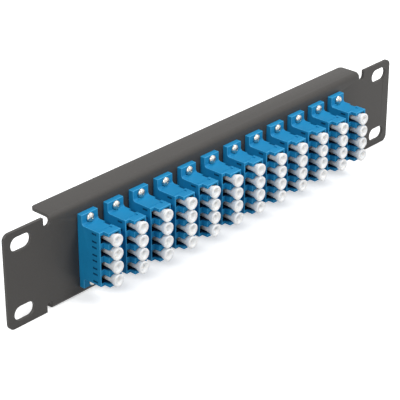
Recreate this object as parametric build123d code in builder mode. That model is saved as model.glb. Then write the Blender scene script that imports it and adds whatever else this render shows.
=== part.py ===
from build123d import *
import os
from math import atan2, degrees

# A ten-inch rack panel, one unit high, that carries a row of four-port fibre adapters.
# Millimetres. The origin is the centre of the plate's front face. +X runs to the right along
# the plate, -Y points to the front, where the dust caps show, and +Z points up.

# Folded sheet: the ears lie flat, and the middle is folded back along its top and bottom.
PANEL_W = 254.0
EAR_H = 44.0
SHEET_T = 1.5
EAR_R = 3.0
FOLD_H = 43.8
FOLD_L = 204.6
FOLD_DEPTH = 11.9
FOLD_R = 2.5
FOLD_CORNER_R = 2.0
RELIEF_W = 3.6

# Rack slots, one pair in each ear.
SLOT_PITCH_X = 236.525
SLOT_PITCH_Z = 31.75
SLOT_L = 11.0
SLOT_W = 6.6

# The row of adapters, which sits a little below the middle of the plate.
ADAPTERS = 12
ADAPTER_PITCH = 15.0
ROW_Z = -0.4
CUTOUT_GAP_X = 0.1
CUTOUT_GAP_Z = 0.4

# One adapter: a front half with a flange and a rear half, welded on the plate's front plane.
BODY_W = 9.3
FRONT_REACH = 15.8
REAR_REACH = 13.3
SIDE_WALL = 0.7
END_WALL = 0.925
FLANGE_T = 2.5
FLANGE_BEVEL = 0.5
FLANGE_CORNER_BEVEL = 0.8
LATCH_STEP_W = 2.2
LATCH_STEP = 3.0
CLIP_NOTCH_L = 3.7
CLIP_NOTCH_W = 1.2
CLIP_NOTCH_H = 0.7
CLIP_NOTCH_FROM_FLANGE = 4.2

# The ports. Distances across the body run from its latch side, which faces -X.
PORTS = 4
PORT_PITCH = 6.25
PORT_AXIS = 5.0
PORT_DEPTH = 9.8
CAVITY_FROM = 3.3
LATCH_SLOT_FROM = 0.6
LIP_H = 1.0
POST_R = 1.45
POST_L = 4.6
POST_SIDES = 6

# Dust caps. A cap's stem ends on the sleeve post, and its head stands clear of the body. Small
# rounds that repeat along the row have flat sides, each as far out as the round itself.
FRONT_CAP_SIDES = 8
REAR_CAP_SIDES = 6
CAP_HEAD_GAP = 0.45
CAP_FLARE_T = 2.6
CAP_STEM_R = 1.9
CAP_STEM_GAP = 0.5
CAP_STAND_OFF = 2.9

# Screws: pan heads on the flange, shanks through it and into tapped holes in the sheet.
SCREW_HEAD_SIDES = 8
SCREW_SIDES = 6
SCREW_R = 1.0
SCREW_HEAD_R = 2.0
SCREW_HEAD_T = 1.6
SCREW_HEAD_GAP = 0.3
FLANGE_RIM = 0.3
SCREW_PAST_SHEET = 1.0
FLANGE_HOLE_GAP = 0.1
TAPPED_HOLE_GAP = 0.05

# Sizes that follow: a port clears its stem, the body holds the ports, and the flange the screws.
CAVITY_HALF_H = CAP_STEM_R + CAP_STEM_GAP
LATCH_SLOT_HALF_H = CAVITY_HALF_H - LIP_H
CAP_HEAD_R = (PORT_PITCH - CAP_HEAD_GAP) / 2
BODY_H = (PORTS - 1) * PORT_PITCH + 2 * (CAVITY_HALF_H + END_WALL)
SCREW_PITCH_Z = BODY_H + 2 * (SCREW_HEAD_GAP + SCREW_HEAD_R)
FLANGE_H = SCREW_PITCH_Z + 2 * (SCREW_HEAD_R + FLANGE_RIM)

# Places that follow.
web_half_h = FOLD_H / 2 - FOLD_R
latch_side_x = -BODY_W / 2
port_axis_x = latch_side_x + PORT_AXIS
middle_y = (REAR_REACH - FRONT_REACH) / 2
front_floor_y = -FRONT_REACH + PORT_DEPTH
row_xs = [ADAPTER_PITCH * (i - (ADAPTERS - 1) / 2) for i in range(ADAPTERS)]
port_zs = [PORT_PITCH * (i - (PORTS - 1) / 2) for i in range(PORTS)]


def across(from_latch_side):
    """X of a place given by its distance from the adapter's latch side."""
    return latch_side_x + from_latch_side


def facing(y):
    """Plane square to Y at y, with X to the right, Z up and its normal to the front."""
    return Plane.XZ.offset(-y)


def flat_sided_round(radius, sides):
    """Regular polygon about a circle of that radius, with flats at its top and bottom."""
    RegularPolygon(radius, sides, major_radius=False, rotation=90 + 180 / sides)


def rectangle_between(x_from, x_to, half_h):
    """Rectangle from x_from to x_to in the current sketch, half_h to each side of its middle."""
    with Locations(((x_from + x_to) / 2, 0)):
        Rectangle(x_to - x_from, 2 * half_h)


def port_outline():
    """T-shaped mouth of one port: the plug's cavity, and the slot for its latch beside it."""
    with BuildSketch(mode=Mode.PRIVATE) as outline:
        rectangle_between(across(CAVITY_FROM), across(BODY_W - SIDE_WALL), CAVITY_HALF_H)
        rectangle_between(across(LATCH_SLOT_FROM), across(CAVITY_FROM), LATCH_SLOT_HALF_H)
    return outline.sketch


def body_outline(reach):
    """Half body seen from above, from the plate's front plane to its mouth at y = reach."""
    forward = 1 if reach > 0 else -1
    step_y = reach - forward * LATCH_STEP
    with BuildSketch(mode=Mode.PRIVATE) as outline:
        with BuildLine():
            Polyline(
                (latch_side_x, 0),
                (latch_side_x, step_y),
                (across(LATCH_STEP_W), step_y),
                (across(LATCH_STEP_W), reach),
                (across(BODY_W), reach),
                (across(BODY_W), 0),
                close=True,
            )
        make_face()
    return outline.sketch


def moulded_half(reach):
    """Half body with its row of ports, and a sleeve post on the floor of each."""
    forward = 1 if reach > 0 else -1
    floor_y = reach - forward * PORT_DEPTH
    with BuildPart() as half:
        with BuildSketch(Plane.XY.offset(-BODY_H / 2)):
            add(body_outline(reach))
        extrude(amount=BODY_H)
        with BuildSketch(facing(floor_y)):
            with Locations(*[(0, z) for z in port_zs]):
                add(port_outline())
        extrude(amount=-forward * PORT_DEPTH, mode=Mode.SUBTRACT)
        with BuildSketch(facing(floor_y)):
            with Locations(*[(port_axis_x, z) for z in port_zs]):
                flat_sided_round(POST_R, POST_SIDES)
        extrude(amount=-forward * POST_L)
    return half.part


# The folded sheet. Its channel is one section, and the ears join it where the bends start.
with BuildPart() as panel:
    with BuildSketch(Plane.YZ):
        with BuildLine():
            FilletPolyline(
                (FOLD_DEPTH, FOLD_H / 2),
                (0, FOLD_H / 2),
                (0, -FOLD_H / 2),
                (FOLD_DEPTH, -FOLD_H / 2),
                radius=FOLD_R,
            )
            offset(amount=SHEET_T, side=Side.LEFT)
        make_face()
    extrude(amount=FOLD_L / 2, both=True)
    back_corners = panel.edges().filter_by(Axis.Z).group_by(Axis.Y)[-1]
    fillet(back_corners, FOLD_CORNER_R)
    relief_x = FOLD_L / 2 + RELIEF_W / 2
    with BuildSketch(facing(SHEET_T)):
        RectangleRounded(PANEL_W, EAR_H, EAR_R)
        for side in (1, -1):
            with Locations((0, side * (web_half_h + EAR_H / 2))):
                Rectangle(FOLD_L, EAR_H, mode=Mode.SUBTRACT)
            with Locations((-relief_x, side * web_half_h), (relief_x, side * web_half_h)):
                Circle(RELIEF_W / 2, mode=Mode.SUBTRACT)
            relief_mid_z = side * (web_half_h + EAR_H / 2)
            with Locations((-relief_x, relief_mid_z), (relief_x, relief_mid_z)):
                Rectangle(RELIEF_W, EAR_H, mode=Mode.SUBTRACT)
        with GridLocations(SLOT_PITCH_X, SLOT_PITCH_Z, 2, 2):
            SlotOverall(SLOT_L, SLOT_W, mode=Mode.SUBTRACT)
    extrude(amount=SHEET_T)
    with BuildSketch(facing(SHEET_T)):
        with Locations((0, ROW_Z)):
            with GridLocations(ADAPTER_PITCH, 0, ADAPTERS, 1):
                Rectangle(BODY_W + 2 * CUTOUT_GAP_X, BODY_H + 2 * CUTOUT_GAP_Z)
            with GridLocations(ADAPTER_PITCH, SCREW_PITCH_Z, ADAPTERS, 2):
                flat_sided_round(SCREW_R + TAPPED_HOLE_GAP, SCREW_SIDES)
    extrude(amount=SHEET_T, mode=Mode.SUBTRACT)
panel.part.label = "panel"

# Front half of an adapter, with the flange that the screws hold to the plate.
with BuildPart() as front_half:
    with BuildSketch(facing(0)):
        Rectangle(BODY_W, FLANGE_H)
        chamfer(vertices(), FLANGE_CORNER_BEVEL)
    extrude(amount=FLANGE_T)
    chamfer(front_half.edges().filter_by(Axis.X).group_by(Axis.Y)[0], FLANGE_BEVEL)
    with BuildSketch(facing(0)):
        with GridLocations(0, SCREW_PITCH_Z, 1, 2):
            flat_sided_round(SCREW_R + FLANGE_HOLE_GAP, SCREW_SIDES)
    extrude(amount=FLANGE_T, mode=Mode.SUBTRACT)
    add(moulded_half(-FRONT_REACH))
    notch_x = across(BODY_W - CLIP_NOTCH_W / 2)
    notch_y = -FLANGE_T - CLIP_NOTCH_FROM_FLANGE - CLIP_NOTCH_L / 2
    with Locations((notch_x, notch_y, BODY_H / 2), (notch_x, notch_y, -BODY_H / 2)):
        Box(CLIP_NOTCH_W, CLIP_NOTCH_L, 2 * CLIP_NOTCH_H, mode=Mode.SUBTRACT)

# Rear half of an adapter, which passes through the plate's cut-out.
with BuildPart() as rear_half:
    add(moulded_half(REAR_REACH))

# The dust caps of one adapter: a stem that ends on the sleeve post, flared out to a flat head.
cap_tip_y = front_floor_y - POST_L
cap_flare_y = -FRONT_REACH - CAP_STAND_OFF + CAP_FLARE_T
flare_angle = degrees(atan2(CAP_HEAD_R - CAP_STEM_R, CAP_FLARE_T))
cap_places = [(port_axis_x, 0, z) for z in port_zs]


def dust_cap(sides):
    """One front cap on the Y axis, with that many flat sides."""
    with BuildPart() as cap:
        with BuildSketch(facing(cap_flare_y)):
            flat_sided_round(CAP_STEM_R, sides)
        extrude(amount=CAP_FLARE_T)
        flare_sides = cap.faces().filter_by(Axis.Y, reverse=True)
        draft(flare_sides, neutral_plane=facing(cap_flare_y), angle=-flare_angle)
        with BuildSketch(facing(cap_tip_y)):
            flat_sided_round(CAP_STEM_R, sides)
        extrude(amount=cap_tip_y - cap_flare_y)
    return cap.part


with BuildPart() as front_cap_set:
    with Locations(*cap_places):
        add(dust_cap(FRONT_CAP_SIDES))

with BuildPart() as rear_cap_set:
    with Locations(*cap_places):
        add(dust_cap(REAR_CAP_SIDES).mirror(facing(middle_y)))

# One screw for each end of each flange: a pan head on a plain shank.
screw_end_y = SHEET_T + SCREW_PAST_SHEET
screw_places = [(x, ROW_Z + side * SCREW_PITCH_Z / 2) for x in row_xs for side in (1, -1)]
with BuildPart() as screws:
    with BuildSketch(facing(screw_end_y)):
        with Locations(*screw_places):
            flat_sided_round(SCREW_R, SCREW_SIDES)
    extrude(amount=screw_end_y + FLANGE_T)
    with BuildSketch(facing(-FLANGE_T)):
        with Locations(*screw_places):
            flat_sided_round(SCREW_HEAD_R, SCREW_HEAD_SIDES)
    extrude(amount=SCREW_HEAD_T)
screws.part.label = "screws"

os.makedirs("parts", exist_ok=True)
export_step(panel.part, "parts/panel.step")
export_step(screws.part, "parts/screws.step")

# Every adapter is the same, so its pieces are placed along the row from one of each.
families = {
    "front_housing": front_half,
    "rear_housing": rear_half,
    "front_caps": front_cap_set,
    "rear_caps": rear_cap_set,
}
for number, x in enumerate(row_xs, start=1):
    for family, piece in families.items():
        name = f"{family}_{number:02d}"
        placed = piece.part.moved(Location((x, 0, ROW_Z)))
        placed.label = name
        export_step(placed, f"parts/{name}.step")
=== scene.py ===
import math

import bmesh
import bpy
from bpy.props import FloatProperty, IntProperty, PointerProperty, StringProperty
from mathutils import Matrix, Vector


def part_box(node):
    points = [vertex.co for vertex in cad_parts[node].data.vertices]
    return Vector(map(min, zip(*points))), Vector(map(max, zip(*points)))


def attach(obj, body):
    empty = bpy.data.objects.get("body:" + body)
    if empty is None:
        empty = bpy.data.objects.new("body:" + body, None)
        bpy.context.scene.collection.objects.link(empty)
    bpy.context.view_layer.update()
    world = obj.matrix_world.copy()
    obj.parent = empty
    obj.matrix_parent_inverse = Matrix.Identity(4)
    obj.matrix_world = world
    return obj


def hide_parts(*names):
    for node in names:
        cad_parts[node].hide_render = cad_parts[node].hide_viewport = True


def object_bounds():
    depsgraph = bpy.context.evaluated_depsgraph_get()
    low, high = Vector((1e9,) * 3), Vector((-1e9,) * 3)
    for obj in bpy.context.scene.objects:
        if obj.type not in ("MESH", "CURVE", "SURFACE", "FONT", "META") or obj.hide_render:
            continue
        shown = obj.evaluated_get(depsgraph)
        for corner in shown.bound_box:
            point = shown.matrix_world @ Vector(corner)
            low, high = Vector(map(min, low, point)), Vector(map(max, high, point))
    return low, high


bl_info = {
    "name": "Fibre patch panel",
    "version": (1, 0, 0),
    "blender": (4, 5, 0),
    "location": "View3D > Sidebar > Patch panel",
    "description": "A ten-inch rack panel with four-port fibre adapters, screws and dust caps",
    "category": "Add Mesh",
}

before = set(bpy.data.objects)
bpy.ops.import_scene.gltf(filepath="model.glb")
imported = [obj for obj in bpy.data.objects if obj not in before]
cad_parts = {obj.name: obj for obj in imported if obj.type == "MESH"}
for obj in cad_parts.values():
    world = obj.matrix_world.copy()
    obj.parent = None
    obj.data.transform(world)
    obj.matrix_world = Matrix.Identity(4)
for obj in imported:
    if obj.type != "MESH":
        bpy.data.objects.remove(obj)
cad_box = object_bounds()

MM = 0.001
HOLDER = "loaded_panel"
ROW = [f"{number:02d}" for number in range(1, 13)]

# Adapter moulding in its own millimetres: x from the middle of its width, y from the plate's
# front face with the mouth at minus, z from the middle of its height.
SHELL_W = 9.3
SHELL_H = 25.4
LATCH_SIDE = -SHELL_W / 2
CLIP_SIDE = SHELL_W / 2
TOP = SHELL_H / 2
MOUTH_Y = -15.8
STEP_X = LATCH_SIDE + 2.2
STEP_Y = -12.8
FLANGE_Y = -2.5
FLANGE_H = 34.6
FILLET_R = 1.2
FILLET_STEPS = 6
MIRROR_Y = FLANGE_Y / 2
SCREW_ZS = (15.0, -15.0)

PORT_X = LATCH_SIDE + 5.0
PORT_PITCH = 6.25
PORT_ZS = [PORT_PITCH * (place - 1.5) for place in range(4)]
PORT_FLOOR_Y = -6.0
LIP = 0.12
# Upper half of a port's mouth, as (across from the latch side, up from the port's middle):
# latch slot, lips, cavity and the far corner.
PORT_HALF = (
    (0.55, 1.75), (2.9, 1.75), (3.3, 1.95), (3.9, 2.15), (4.2, 2.4), (8.35, 2.4), (8.6, 2.15),
)

# Two latch windows stand beside each port, WINDOW_Z above and below its middle.
WINDOW_Y = (-10.9, -8.2)
WINDOW_Z = 1.8
WINDOW_HALF_H = 0.42
WINDOW_DEPTH = 0.5

# How far a cutter stands out of the body.
OVERCUT = 1.0
# Cuts in the top and the bottom, as (x range, y range, depth): clip notch, small recess and
# parting groove.
SKIN_CUTS = (
    ((CLIP_SIDE - 1.2, CLIP_SIDE + OVERCUT), (-10.4, -6.7), 0.7),
    ((CLIP_SIDE - 2.5, CLIP_SIDE - 1.6), (-12.7, -11.1), 0.35),
    ((LATCH_SIDE - OVERCUT, CLIP_SIDE - 3.5), (-11.65, -11.4), 0.12),
)

# Walls that mark_painted_shade leaves out, measured in from each side of the body, and how far it looks
# past a port's floor.
LATCH_WALL = 0.5
CLIP_WALL = 0.3
END_WALL = 0.6
MARGIN = 0.1
# Painted shade: how dark a latch window is painted, and where the painted dark of a port starts
# and is full, measured from the plane that the two halves mirror in.
WINDOW_SHADE = 0.7
SHADE_START = 14.4
SHADE_FULL = 11.6

# Turned shapes, as (radius, y), and the steps in their full turn.
POST_STEPS = 24
POST_PROFILE = (
    (0.0, -6.4), (0.82, -6.4), (0.82, -10.35), (1.0, -10.6), (1.3, -10.6), (1.45, -10.45),
    (1.45, -5.8), (0.0, -5.8),
)
SEAT_STEPS = 32
SEAT_PROFILE = (
    (0.0, 1.0), (1.1, 1.0), (1.1, -2.0), (1.1, FLANGE_Y), (2.15, FLANGE_Y), (2.15, -5.5),
    (0.0, -5.5),
)
CAP_PROFILE = (
    (0.0, -16.95), (0.7, -17.0), (1.05, -17.2), (1.25, -17.6), (1.45, -18.1), (1.75, -18.45),
    (2.1, -18.63), (2.45, -18.7), (2.7, -18.63), (2.84, -18.5), (2.88, -18.3), (2.86, -18.0),
    (2.72, -17.2), (2.48, -16.6), (2.24, -15.95), (2.07, -15.1), (1.97, -14.0), (1.9, -12.8),
    (1.85, -9.0), (1.8, -7.7), (1.72, -7.5), (1.56, -7.5), (1.5, -7.6), (1.5, -13.6),
    (1.3, -13.9), (0.0, -13.95),
)
SCREW_STEPS = 24
SCREW_PROFILE = (
    (0.0, -3.85), (0.7, -3.83), (1.25, -3.73), (1.65, -3.53), (1.9, -3.25), (2.0, -2.95),
    (2.0, -2.6), (1.94, -2.5), (1.0, -2.5), (1.0, 2.35), (0.85, 2.5), (0.0, 2.5),
)
# Cross recess: one corner of its outline as (x, z), where its cutter starts, how far that is
# above the head, how much it narrows, and how far each screw is turned past the last.
CROSS_CORNER = ((1.0, 0.18), (0.18, 0.18), (0.18, 1.0))
CROSS_Y = -4.6
CROSS_ABOVE = 0.75
CROSS_TAPER = 0.45
SCREW_TURN = 47.0

# Points closer than MERGE, or than PANEL_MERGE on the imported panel, become one. Points closer
# than SAME count as level.
MERGE = 0.001
PANEL_MERGE = 0.002
SAME = 0.01
# Least angle of an edge that is bevelled, largest one that still counts as flat on the panel,
# and least ones that stay sharp when a mesh is shaded smooth.
BEVEL_DEGREES = 60.0
FLAT_DEGREES = 0.5
SMOOTH_DEGREES = 32.0
PANEL_SMOOTH_DEGREES = 25.0
CAP_SMOOTH_DEGREES = 40.0

# Stage: half of the floor's width and its gap under the object, in metres, how bright the
# floor's own white and the world's light are, and the camera's sensor and clipping.
FLOOR_HALF = 6.0
FLOOR_GAP = 0.0002
FLOOR_GLOW = 0.56
AMBIENT = 0.2
SENSOR_W = 36.0
CLIP_START = 0.05
CLIP_END = 20.0
# Lamps, as (name, place and width in metres, watts).
LAMPS = (
    ("key", (-1.3, -0.5, 1.0), 0.5, 10.6),
    ("overhead", (0.35, 0.0, 0.9), 0.4, 3.7),
    ("fill", (0.3, -0.85, 0.85), 0.4, 7.8),
    ("back", (-0.35, 1.0, 0.3), 0.4, 8.0),
)


def linear(colour):
    """An sRGB hex colour such as 1a6496 as linear red, green, blue and alpha."""
    channels = [int(colour[place:place + 2], 16) / 255 for place in (0, 2, 4)]
    rgb = [c / 12.92 if c <= 0.04045 else ((c + 0.055) / 1.055) ** 2.4 for c in channels]
    return (*rgb, 1.0)


def add_node(tree, kind, inputs=None, **settings):
    """Add one node with its settings. An input is a value, or the socket that feeds it."""
    made = tree.nodes.new(kind)
    for name, value in settings.items():
        setattr(made, name, value)
    for name, value in (inputs or {}).items():
        if isinstance(value, bpy.types.NodeSocket):
            tree.links.new(value, made.inputs[name])
        else:
            made.inputs[name].default_value = value
    return made


def math_node(tree, operation, *values):
    """The result of one sum on values or sockets."""
    made = add_node(tree, "ShaderNodeMath", dict(enumerate(values)), operation=operation)
    return made.outputs[0]


def noise(tree, place, width_mm, detail, roughness):
    """A noise whose patches are about width_mm wide."""
    made = add_node(tree, "ShaderNodeTexNoise", {
        "Vector": place, "Scale": 1.0 / (width_mm * MM), "Detail": detail, "Roughness": roughness,
    })
    return made.outputs["Fac"]


def blend(tree, factor, low, high):
    """Two colours mixed by factor. Each one is a hex colour or a socket."""
    low, high = (linear(end) if isinstance(end, str) else end for end in (low, high))
    made = add_node(tree, "ShaderNodeMix", {
        "Factor": factor, "A": low, "B": high,
    }, data_type="RGBA")
    return made.outputs["Result"]


def gloss_from(tree, value, smooth, rough):
    """A roughness from smooth to rough, spread over the middle of a noise's range."""
    made = add_node(tree, "ShaderNodeMapRange", {
        "Value": value, "From Min": 0.3, "From Max": 0.7, "To Min": smooth, "To Max": rough,
    })
    return made.outputs["Result"]


def bumped(tree, height, strength, depth_mm):
    """A normal bent by a bump that is depth_mm deep."""
    made = add_node(tree, "ShaderNodeBump", {
        "Height": height, "Strength": strength, "Distance": depth_mm * MM,
    })
    return made.outputs["Normal"]


def object_place(tree):
    """The object's own coordinates, in metres."""
    return add_node(tree, "ShaderNodeTexCoord").outputs["Object"]


def new_material(name, colour):
    """An empty node material, with its tree and its output."""
    material = bpy.data.materials.new(name)
    material.use_nodes = True
    material.diffuse_color = linear(colour)
    tree = material.node_tree
    tree.nodes.clear()
    output = tree.nodes.new("ShaderNodeOutputMaterial")
    return material, tree, output


def add_shader(tree, output, inputs):
    """Put a principled shader with these inputs on the material's output."""
    shader = add_node(tree, "ShaderNodeBsdfPrincipled", inputs)
    tree.links.new(shader.outputs["BSDF"], output.inputs["Surface"])


def powder_coat(settings):
    """Polyester powder coat on steel: a dark satin film whose orange peel breaks up highlights."""
    material, tree, output = new_material("satin_powder_coat", settings.coat_colour)
    place = object_place(tree)
    peel = noise(tree, place, settings.peel_mm, 3.0, 0.6)
    # The real flecks are finer than a pixel, so they are drawn about a millimetre wide to show.
    fleck = noise(tree, place, 1.1, 2.0, 0.7)
    add_shader(tree, output, {
        "Base Color": blend(tree, fleck, settings.coat_colour, settings.coat_fleck_colour),
        "Roughness": gloss_from(tree, fleck, 0.44, 0.54),
        "IOR": 1.47,
        "Specular IOR Level": 0.25,
        "Normal": bumped(tree, peel, 0.35, 0.03),
    })
    return material


def moulded_blue(settings):
    """Injection-moulded polybutylene: saturated blue, satin from the spark-eroded mould."""
    material, tree, output = new_material("moulded_blue_plastic", settings.shell_colour)
    place = object_place(tree)
    grain = noise(tree, place, 0.12, 2.0, 0.5)
    flow = noise(tree, place, 9.0, 1.0, 0.5)
    tone = blend(tree, flow, settings.shell_colour, settings.shell_flow_colour)
    # Painted shade: the blue is painted darker the deeper it lies in a port, and in the latch
    # windows, standing in for the shade there.
    place_y = add_node(tree, "ShaderNodeSeparateXYZ", {"Vector": place}).outputs["Y"]
    from_middle = math_node(tree, "SUBTRACT", place_y, MIRROR_Y * MM)
    from_middle = math_node(tree, "ABSOLUTE", from_middle)
    depth = add_node(tree, "ShaderNodeMapRange", {
        "Value": from_middle, "From Min": SHADE_START * MM, "From Max": SHADE_FULL * MM,
    })
    port = add_node(
        tree, "ShaderNodeAttribute", attribute_name="port", attribute_type="GEOMETRY",
    )
    inside = math_node(tree, "MULTIPLY", depth.outputs["Result"], port.outputs["Fac"])
    tone = blend(tree, inside, tone, settings.shell_painted_shade_colour)
    # Painted highlight: bevelled corners and mouth edges are painted a paler blue, and are shinier
    # than the flats.
    corner = add_node(
        tree, "ShaderNodeAttribute", attribute_name="corner", attribute_type="GEOMETRY",
    )
    gloss = add_node(tree, "ShaderNodeMapRange", {
        "Value": corner.outputs["Fac"], "To Min": 0.6, "To Max": 0.42,
    })
    add_shader(tree, output, {
        "Base Color": blend(tree, corner.outputs["Fac"], tone, settings.shell_edge_highlight_colour),
        "Roughness": gloss.outputs["Result"],
        "IOR": 1.43,
        "Specular IOR Level": 0.3,
        "Normal": bumped(tree, grain, 0.2, 0.01),
    })
    return material


def soft_white(settings):
    """Low-density polyethylene: milky white, waxy, light spreads a little way inside."""
    material, tree, output = new_material("milky_polyethylene", settings.cap_colour)
    place = object_place(tree)
    cloud = noise(tree, place, 3.0, 2.0, 0.5)
    add_shader(tree, output, {
        "Base Color": blend(tree, cloud, settings.cap_colour, settings.cap_cloud_colour),
        "Roughness": 0.4,
        "IOR": 1.51,
        "Subsurface Weight": 0.8,
        "Subsurface Radius": (1.0, 0.95, 0.9),
        "Subsurface Scale": 2.0 * MM,
        "Normal": bumped(tree, cloud, 0.1, 0.03),
    })
    return material


def nickel_plate(settings):
    """Nickel-plated steel: bright and faintly warm, with fine turning marks from the header."""
    material, tree, output = new_material("nickel_plated_steel", settings.plate_colour)
    place = object_place(tree)
    marks = noise(tree, place, 0.25, 3.0, 0.6)
    add_shader(tree, output, {
        "Base Color": linear(settings.plate_colour),
        "Metallic": 1.0,
        "Roughness": gloss_from(tree, marks, 0.22, 0.34),
        "Normal": bumped(tree, marks, 0.15, 0.01),
    })
    return material


def material_named(name, make, settings):
    """The material of that name, made the first time that it is asked for."""
    return bpy.data.materials.get(name) or make(settings)


def block(bm, low, high):
    """Add a closed box between two corners."""
    low, high = Vector(low), Vector(high)
    place = Matrix.Translation((low + high) / 2) @ Matrix.Diagonal((*(high - low), 1.0))
    bmesh.ops.create_cube(bm, size=1.0, matrix=place)


def prism(bm, outline, along, length):
    """Add a closed prism: outline's points, pushed by length along X, Y or Z."""
    face = bm.faces.new([bm.verts.new(point) for point in outline])
    pushed = bmesh.ops.extrude_face_region(bm, geom=[face])["geom"]
    moved = [item for item in pushed if isinstance(item, bmesh.types.BMVert)]
    bmesh.ops.translate(bm, verts=moved, vec=Vector(along) * length)
    return moved


def turned(bm, profile, steps, centre=(0.0, 0.0, 0.0)):
    """Spin (radius, y) points a full turn about the Y axis through centre."""
    centre = Vector(centre)
    points = [bm.verts.new((centre.x + radius, y, centre.z)) for radius, y in profile]
    edges = [bm.edges.new(pair) for pair in zip(points, points[1:])]
    bmesh.ops.spin(
        bm, geom=points + edges, cent=centre, axis=(0, 1, 0), dvec=(0, 0, 0),
        angle=math.tau, steps=steps, use_merge=True, use_duplicate=False,
    )


def tidy_shell(bm):
    """Merge doubles, and point every face outwards."""
    bmesh.ops.remove_doubles(bm, verts=bm.verts, dist=MERGE)
    bmesh.ops.recalc_face_normals(bm, faces=bm.faces)


def mirror_to_rear(bm):
    """Turn a front half or its caps into the rear ones."""
    bmesh.ops.translate(bm, verts=bm.verts, vec=(0, -MIRROR_Y, 0))
    bmesh.ops.scale(bm, verts=bm.verts, vec=(1, -1, 1))
    bmesh.ops.translate(bm, verts=bm.verts, vec=(0, MIRROR_Y, 0))
    bmesh.ops.recalc_face_normals(bm, faces=bm.faces)


def soften(bm, width, segments, where=None):
    """Bevel the sharp outer edges that where accepts, and mark the new faces as corners, where the
    blue plastic paints a highlight.
    """
    corner = bm.faces.layers.float.get("corner") or bm.faces.layers.float.new("corner")
    sharp = [
        edge for edge in bm.edges
        if len(edge.link_faces) == 2 and edge.is_convex
        and edge.calc_face_angle(0.0) > math.radians(BEVEL_DEGREES)
        and (where is None or where(edge))
    ]
    made = bmesh.ops.bevel(
        bm, geom=sharp, offset=width, offset_type="OFFSET", segments=segments, profile=0.5,
        affect="EDGES", material=-1, clamp_overlap=True,
    )
    for face in made["faces"]:
        face[corner] = 1.0


def scratch_object(name, bm):
    """A temporary object in millimetres from bm, which is used up."""
    mesh = bpy.data.meshes.new(name)
    bm.to_mesh(mesh)
    bm.free()
    made = bpy.data.objects.new(name, mesh)
    bpy.context.scene.collection.objects.link(made)
    return made


def cut(base, tool):
    """Base less tool, as a bmesh. Both are used up."""
    base, tool = scratch_object("base", base), scratch_object("tool", tool)
    change = base.modifiers.new("cut", "BOOLEAN")
    change.operation = "DIFFERENCE"
    change.solver = "EXACT"
    change.object = tool
    bpy.context.view_layer.update()
    depsgraph = bpy.context.evaluated_depsgraph_get()
    result = bpy.data.meshes.new_from_object(base.evaluated_get(depsgraph))
    bm = bmesh.new()
    bm.from_mesh(result)
    bpy.data.meshes.remove(result)
    for used in (base, tool):
        mesh = used.data
        bpy.data.objects.remove(used)
        bpy.data.meshes.remove(mesh)
    return bm


def finished_mesh(name, bm, degrees=SMOOTH_DEGREES):
    """A mesh with smooth faces that stays sharp at its corners. bm is used up."""
    mesh = bpy.data.meshes.new(name)
    bm.to_mesh(mesh)
    bm.free()
    mesh.polygons.foreach_set("use_smooth", [True] * len(mesh.polygons))
    mesh.set_sharp_from_angle(angle=math.radians(degrees))
    return mesh


def put(name, mesh, material, body, nodes=()):
    """Make a piece of the object from a mesh in metres that is already in place."""
    piece = bpy.data.objects.new(name, mesh)
    mesh.materials.append(material)
    bpy.context.scene.collection.objects.link(piece)
    if nodes:
        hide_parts(*nodes)
    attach(piece, body)


def placed(mesh, offset, name):
    """A copy of a millimetre mesh, in metres, moved by offset metres."""
    copy = mesh.copy()
    copy.name = name
    copy.transform(Matrix.Translation(offset) @ Matrix.Scale(MM, 4))
    return copy


def adapter_place(number):
    """Where the middle of an adapter stands, in metres, read from its front housing's box."""
    low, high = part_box(f"front_housing_{number}")
    return Vector(((low.x + high.x) / 2, 0.0, (low.z + high.z) / 2))


def fillet(centre_y, centre_z, start_degrees):
    """Quarter of a circle as (y, z) points, from start_degrees on."""
    angles = [
        math.radians(start_degrees + 90.0 / FILLET_STEPS * step)
        for step in range(FILLET_STEPS + 1)
    ]
    return [
        (centre_y + FILLET_R * math.cos(angle), centre_z + FILLET_R * math.sin(angle))
        for angle in angles
    ]


def moulding(flanged, corner_mm):
    """Stepped body of one half adapter with rounded outer corners, before its ports are cut."""
    back = 0.0 if flanged else FLANGE_Y
    upper = [(MOUTH_Y, TOP)]
    if flanged:
        upper += fillet(FLANGE_Y - FILLET_R, TOP + FILLET_R, -90.0)
        upper += [(FLANGE_Y, FLANGE_H / 2), (0.0, FLANGE_H / 2)]
    else:
        upper += [(back, TOP)]
    side = upper + [(y, -z) for y, z in reversed(upper)]
    bm = bmesh.new()
    prism(bm, [(LATCH_SIDE, y, z) for y, z in side], (1, 0, 0), SHELL_W)
    tidy_shell(bm)
    step = bmesh.new()
    block(
        step, (LATCH_SIDE - OVERCUT, MOUTH_Y - OVERCUT, -TOP - OVERCUT),
        (STEP_X, STEP_Y, TOP + OVERCUT),
    )
    bm = cut(bm, step)
    tidy_shell(bm)
    soften(bm, corner_mm, 2, lambda edge: any(vert.co.y < back - SAME for vert in edge.verts))
    return bm


def cutters(flanged):
    """All that is cut from one half adapter. None may touch another, or the cut would fail."""
    bm = bmesh.new()
    for z in PORT_ZS:
        upper = [(LATCH_SIDE + across, MOUTH_Y - OVERCUT, z + up) for across, up in PORT_HALF]
        lower = [(x, y, z - up) for (x, y, _), (_, up) in zip(upper, PORT_HALF)]
        prism(bm, upper + lower[::-1], (0, 1, 0), PORT_FLOOR_Y - MOUTH_Y + OVERCUT)
        for middle in (z + WINDOW_Z, z - WINDOW_Z):
            block(
                bm, (LATCH_SIDE - OVERCUT, WINDOW_Y[0], middle - WINDOW_HALF_H),
                (LATCH_SIDE + WINDOW_DEPTH, WINDOW_Y[1], middle + WINDOW_HALF_H),
            )
    for z in (TOP, -TOP):
        for (left, right), (near, far), depth in SKIN_CUTS:
            block(bm, (left, near, z - depth), (right, far, z + depth))
    tidy_shell(bm)
    if flanged:
        for z in SCREW_ZS:
            turned(bm, SEAT_PROFILE, SEAT_STEPS, (0.0, 0.0, z))
        tidy_shell(bm)
    return bm


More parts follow.
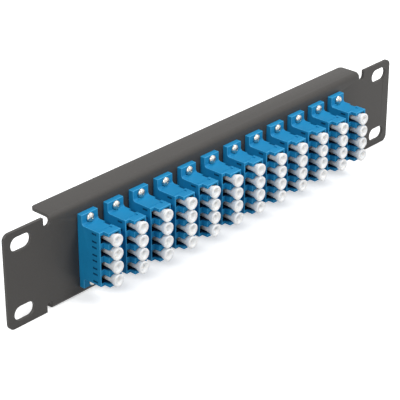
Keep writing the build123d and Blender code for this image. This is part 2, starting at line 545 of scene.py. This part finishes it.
def at_mouth(edge):
    """Whether an edge lies on the front of a half adapter or on its lower step."""
    return any(all(abs(vert.co.y - y) < SAME for vert in edge.verts) for y in (MOUTH_Y, STEP_Y))


def mark_painted_shade(half):
    """Mark the faces inside the ports and, less strongly, inside the latch windows, for the
    painted shade.
    """
    port = half.faces.layers.float.get("port") or half.faces.layers.float.new("port")
    for face in half.faces:
        x, y, z = face.calc_center_median()
        inner = LATCH_SIDE + LATCH_WALL < x < CLIP_SIDE - CLIP_WALL and abs(z) < TOP - END_WALL
        outer = min(abs(y - MOUTH_Y), abs(y - STEP_Y), abs(x - STEP_X)) < SAME
        in_port = inner and y < PORT_FLOOR_Y + MARGIN and not outer
        in_window = (
            MARGIN < x - LATCH_SIDE < WINDOW_DEPTH + SAME
            and WINDOW_Y[0] - SAME < y < WINDOW_Y[1] + SAME
        )
        face[port] = 1.0 if in_port else WINDOW_SHADE if in_window else 0.0


def half_adapter(flanged, corner_mm):
    """One half adapter with keyed ports, sleeve posts, latch windows and clip notches."""
    half = cut(moulding(flanged, corner_mm), cutters(flanged))
    tidy_shell(half)
    mark_painted_shade(half)
    # The bevelled mouth edges are marked for the painted highlight too.
    soften(half, LIP, 1, at_mouth)
    for z in PORT_ZS:
        turned(half, POST_PROFILE, POST_STEPS, (PORT_X, 0.0, z))
    tidy_shell(half)
    return half


def cross_cutter(recess_mm):
    """Tapered cross that leaves a recess recess_mm deep in the top of a screw's head."""
    bm = bmesh.new()
    corners = CROSS_CORNER
    outline = []
    for _ in range(4):
        outline += [(x, CROSS_Y, z) for x, z in corners]
        corners = [(-z, x) for x, z in corners]
    deep = prism(bm, outline, (0, 1, 0), CROSS_ABOVE + recess_mm)
    bmesh.ops.scale(bm, verts=deep, vec=(CROSS_TAPER, 1, CROSS_TAPER))
    bmesh.ops.recalc_face_normals(bm, faces=bm.faces)
    return bm


def seen_rays(tree):
    """A socket that is 1 for the rays that show the background: in the lens, metal and glass."""
    ray = add_node(tree, "ShaderNodeLightPath").outputs
    seen = ray["Is Camera Ray"]
    for name in ("Is Glossy Ray", "Is Transmission Ray"):
        seen = math_node(tree, "MAXIMUM", seen, ray[name])
    return seen


def add_floor(scene, height):
    """A white floor that keeps the object's shadow and throws little light back up."""
    bm = bmesh.new()
    bmesh.ops.create_grid(bm, x_segments=1, y_segments=1, size=FLOOR_HALF)
    bmesh.ops.translate(bm, verts=bm.verts, vec=(0, 0, height))
    mesh = bpy.data.meshes.new("floor")
    bm.to_mesh(mesh)
    bm.free()
    floor = bpy.data.objects.new("floor", mesh)
    scene.collection.objects.link(floor)

    material, tree, output = new_material("pale_floor", "f2f2f2")
    matt = add_node(tree, "ShaderNodeBsdfDiffuse", {"Color": linear("e6e6e6")})
    glow = add_node(tree, "ShaderNodeEmission", {"Color": (1, 1, 1, 1), "Strength": FLOOR_GLOW})
    white = add_node(tree, "ShaderNodeAddShader", {
        0: matt.outputs["BSDF"], 1: glow.outputs["Emission"],
    })
    dim = add_node(tree, "ShaderNodeBsdfDiffuse", {"Color": linear("acacac")})
    surface = add_node(tree, "ShaderNodeMixShader", {
        0: seen_rays(tree), 1: dim.outputs["BSDF"], 2: white.outputs[0],
    })
    tree.links.new(surface.outputs[0], output.inputs["Surface"])
    mesh.materials.append(material)


def add_world(scene):
    """A world that shows white and lights the object softly."""
    world = bpy.data.worlds.new("studio")
    scene.world = world
    world.use_nodes = True
    tree = world.node_tree
    tree.nodes.clear()
    output = tree.nodes.new("ShaderNodeOutputWorld")
    strength = add_node(tree, "ShaderNodeMapRange", {
        "Value": seen_rays(tree), "To Min": AMBIENT, "To Max": 1.0,
    })
    sky = add_node(tree, "ShaderNodeBackground", {
        "Color": (1, 1, 1, 1), "Strength": strength.outputs["Result"],
    })
    tree.links.new(sky.outputs["Background"], output.inputs["Surface"])


def add_lamp(scene, name, place, size, power):
    """A square lamp that faces the middle of the object."""
    lamp = bpy.data.lights.new(name, "AREA")
    lamp.shape = "SQUARE"
    lamp.size = size
    lamp.energy = power
    stand = bpy.data.objects.new(name, lamp)
    stand.location = place
    stand.rotation_mode = "QUATERNION"
    stand.rotation_quaternion = (-Vector(place)).to_track_quat("-Z", "Y")
    scene.collection.objects.link(stand)


def add_camera(scene, settings):
    """The photograph's camera, fitted to the plate's corners and slots."""
    turn, lift = settings.heading, settings.elevation
    right = Vector((math.cos(turn), -math.sin(turn), 0))
    back = Vector((
        -math.sin(turn) * math.cos(lift), -math.cos(turn) * math.cos(lift), math.sin(lift),
    ))
    up = back.cross(right)
    roll = Matrix.Rotation(settings.roll, 3, back)
    right, up = roll @ right, roll @ up
    camera = bpy.data.objects.new("camera", bpy.data.cameras.new("camera"))
    camera.data.lens = settings.lens
    camera.data.sensor_width = SENSOR_W
    camera.data.clip_start, camera.data.clip_end = CLIP_START, CLIP_END
    place = right * settings.aim_right + up * settings.aim_up + back * settings.distance
    axes = Matrix((right, up, back)).transposed()
    camera.matrix_world = Matrix.Translation(place) @ axes.to_4x4()
    scene.collection.objects.link(camera)
    scene.camera = camera


class PanelSettings(bpy.types.PropertyGroup):
    coat_colour: StringProperty(
        name="Coat colour", description="Powder coat as an sRGB hex value", default="403e3c",
    )
    coat_fleck_colour: StringProperty(
        name="Fleck colour", description="Flecks in the coat as an sRGB hex value",
        default="494745",
    )
    peel_mm: FloatProperty(
        name="Orange peel", description="Width of the coat's ripples in millimetres",
        default=0.5, min=0.1, max=3.0,
    )
    edge_mm: FloatProperty(
        name="Edge round", description="Round left by the coat on sheared edges, in millimetres",
        default=0.14, min=0.02, max=0.4,
    )


class AdapterSettings(bpy.types.PropertyGroup):
    shell_colour: StringProperty(
        name="Shell colour", description="Blue plastic as an sRGB hex value", default="147db0",
    )
    shell_flow_colour: StringProperty(
        name="Flow colour", description="Blue where the melt met, as an sRGB hex value",
        default="1588bc",
    )
    # Painted shade: the dark blue painted deep in the ports and in the latch windows.
    shell_painted_shade_colour: StringProperty(
        name="Port colour", description="Blue deep in the ports as an sRGB hex value",
        default="012a4c",
    )
    # Painted highlight: the paler blue painted on the bevelled corners and mouth edges.
    shell_edge_highlight_colour: StringProperty(
        name="Corner colour", description="Painted highlight on corners as an sRGB hex value",
        default="3d9fd2",
    )
    corner_mm: FloatProperty(
        name="Corner round", description="Round on the moulded corners in millimetres",
        default=0.22, min=0.05, max=0.4,
    )


class CapSettings(bpy.types.PropertyGroup):
    cap_colour: StringProperty(
        name="Cap colour", description="White plastic as an sRGB hex value", default="fafaf9",
    )
    cap_cloud_colour: StringProperty(
        name="Cloud colour", description="Milky patches as an sRGB hex value", default="f5f5f3",
    )
    sides: IntProperty(
        name="Steps round a cap", description="Flat steps in one full turn",
        default=32, min=12, max=64,
    )


class ScrewSettings(bpy.types.PropertyGroup):
    plate_colour: StringProperty(
        name="Plating colour", description="Nickel plate as an sRGB hex value",
        default="d0ccc4",
    )
    recess_mm: FloatProperty(
        name="Recess depth", description="Depth of the cross recess in millimetres",
        default=0.45, min=0.2, max=1.4,
    )


class StageSettings(bpy.types.PropertyGroup):
    lens: FloatProperty(
        name="Lens", description="Focal length that gives the photograph's perspective",
        default=145.89, unit="CAMERA",
    )
    heading: FloatProperty(
        name="Heading", description="How far the camera stands to the left of the plate's front",
        default=math.radians(47.37), subtype="ANGLE",
    )
    elevation: FloatProperty(
        name="Elevation", description="Height of the camera above the horizon",
        default=math.radians(26.81), subtype="ANGLE",
    )
    roll: FloatProperty(
        name="Roll", description="Turn of the picture about its middle",
        default=math.radians(-0.14), subtype="ANGLE",
    )
    distance: FloatProperty(
        name="Distance", description="From the object to the camera",
        default=0.732, unit="LENGTH",
    )
    aim_right: FloatProperty(
        name="Aim right", description="Camera's offset to its right",
        default=-0.0085, unit="LENGTH",
    )
    aim_up: FloatProperty(
        name="Aim up", description="Camera's offset upwards", default=-0.0083, unit="LENGTH",
    )


class RACK_OT_panel(bpy.types.Operator):
    """Coat the folded sheet panel"""
    bl_idname = "rack.panel"
    bl_label = "Panel"

    def execute(self, context):
        settings = context.scene.rack_panel
        bm = bmesh.new()
        bm.from_mesh(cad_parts["panel"].data)
        bmesh.ops.remove_doubles(bm, verts=bm.verts, dist=PANEL_MERGE * MM)
        bmesh.ops.dissolve_limit(
            bm, angle_limit=math.radians(FLAT_DEGREES), use_dissolve_boundaries=False,
            verts=bm.verts, edges=bm.edges,
        )
        soften(bm, settings.edge_mm * MM, 2)
        mesh = finished_mesh("folded_panel", bm, PANEL_SMOOTH_DEGREES)
        coat = material_named("satin_powder_coat", powder_coat, settings)
        put("folded_panel", mesh, coat, HOLDER, ["panel"])
        return {"FINISHED"}


class RACK_OT_housings(bpy.types.Operator):
    """Mould both halves of every adapter"""
    bl_idname = "rack.housings"
    bl_label = "Adapter housings"

    def execute(self, context):
        settings = context.scene.rack_adapter
        blue = material_named("moulded_blue_plastic", moulded_blue, settings)
        rear = half_adapter(False, settings.corner_mm)
        mirror_to_rear(rear)
        halves = {
            "rear_housing": finished_mesh("rear_half", rear),
            "front_housing": finished_mesh("front_half", half_adapter(True, settings.corner_mm)),
        }
        for number in ROW:
            offset = adapter_place(number)
            for family in ("front_housing", "rear_housing"):
                name = f"{family}_{number}"
                shell = placed(halves[family], offset, name)
                put(f"{family}_shell_{number}", shell, blue, HOLDER, [name])
        return {"FINISHED"}


class RACK_OT_caps(bpy.types.Operator):
    """Push a dust cap into every port"""
    bl_idname = "rack.caps"
    bl_label = "Dust caps"

    def execute(self, context):
        settings = context.scene.rack_caps
        white = material_named("milky_polyethylene", soft_white, settings)
        bm = bmesh.new()
        for z in PORT_ZS:
            turned(bm, CAP_PROFILE, settings.sides, (PORT_X, 0.0, z))
        tidy_shell(bm)
        front_mesh = finished_mesh("front_cap_row", bm.copy(), CAP_SMOOTH_DEGREES)
        mirror_to_rear(bm)
        rear_mesh = finished_mesh("rear_cap_row", bm, CAP_SMOOTH_DEGREES)
        for number in ROW:
            offset = adapter_place(number)
            for end, mesh in (("front", front_mesh), ("rear", rear_mesh)):
                name = f"{end}_caps_{number}"
                row = placed(mesh, offset, name)
                body = f"{end}_cap_set_{number}"
                put(f"{end}_cap_row_{number}", row, white, body, [name])
        return {"FINISHED"}


class RACK_OT_screws(bpy.types.Operator):
    """Drive two pan-head screws through every flange"""
    bl_idname = "rack.screws"
    bl_label = "Screws"

    def execute(self, context):
        settings = context.scene.rack_screws
        plate = material_named("nickel_plated_steel", nickel_plate, settings)
        screw = bmesh.new()
        turned(screw, SCREW_PROFILE, SCREW_STEPS)
        tidy_shell(screw)
        screw = cut(screw, cross_cutter(settings.recess_mm))
        tidy_shell(screw)
        one = finished_mesh("one_screw", screw)
        bm = bmesh.new()
        turn = 0.0
        for number in ROW:
            offset = adapter_place(number)
            for z in SCREW_ZS:
                turn += SCREW_TURN
                mesh = one.copy()
                mesh.transform(Matrix.Rotation(math.radians(turn), 4, "Y"))
                place = Matrix.Translation(offset + Vector((0, 0, z * MM)))
                mesh.transform(place @ Matrix.Scale(MM, 4))
                bm.from_mesh(mesh)
        screws = finished_mesh("flange_screws", bm)
        put("flange_screws", screws, plate, HOLDER, ["screws"])
        return {"FINISHED"}


class RACK_OT_stage(bpy.types.Operator):
    """Set the floor, the lamps and the camera"""
    bl_idname = "rack.stage"
    bl_label = "Stage"

    def execute(self, context):
        scene = context.scene
        scene.view_settings.view_transform = "Standard"
        low, _ = cad_box
        add_floor(scene, low.z - FLOOR_GAP)
        add_world(scene)
        for lamp in LAMPS:
            add_lamp(scene, *lamp)
        add_camera(scene, scene.rack_stage)
        return {"FINISHED"}


class RACK_PT_sidebar(bpy.types.Panel):
    """Sizes, colours and pieces of the patch panel"""
    bl_idname = "RACK_PT_sidebar"
    bl_label = "Fibre patch panel"
    bl_space_type = "VIEW_3D"
    bl_region_type = "UI"
    bl_category = "Patch panel"

    def draw(self, context):
        scene = context.scene
        groups = (
            (scene.rack_panel, "rack.panel"), (scene.rack_adapter, "rack.housings"),
            (scene.rack_caps, "rack.caps"), (scene.rack_screws, "rack.screws"),
            (scene.rack_stage, "rack.stage"),
        )
        for group, operator in groups:
            column = self.layout.column(align=True)
            for name in group.__annotations__:
                column.prop(group, name)
            column.operator(operator)


GROUPS = {
    "rack_panel": PanelSettings, "rack_adapter": AdapterSettings, "rack_caps": CapSettings,
    "rack_screws": ScrewSettings, "rack_stage": StageSettings,
}
CLASSES = (
    *GROUPS.values(), RACK_OT_panel, RACK_OT_housings, RACK_OT_caps, RACK_OT_screws,
    RACK_OT_stage, RACK_PT_sidebar,
)


def register():
    for item in CLASSES:
        bpy.utils.register_class(item)
    for name, group in GROUPS.items():
        setattr(bpy.types.Scene, name, PointerProperty(type=group))


def unregister():
    for name in GROUPS:
        delattr(bpy.types.Scene, name)
    for item in reversed(CLASSES):
        bpy.utils.unregister_class(item)


def main():
    register()
    bpy.ops.rack.stage()
    bpy.ops.rack.panel()
    bpy.ops.rack.housings()
    bpy.ops.rack.caps()
    bpy.ops.rack.screws()


if __name__ == "__main__":
    main()
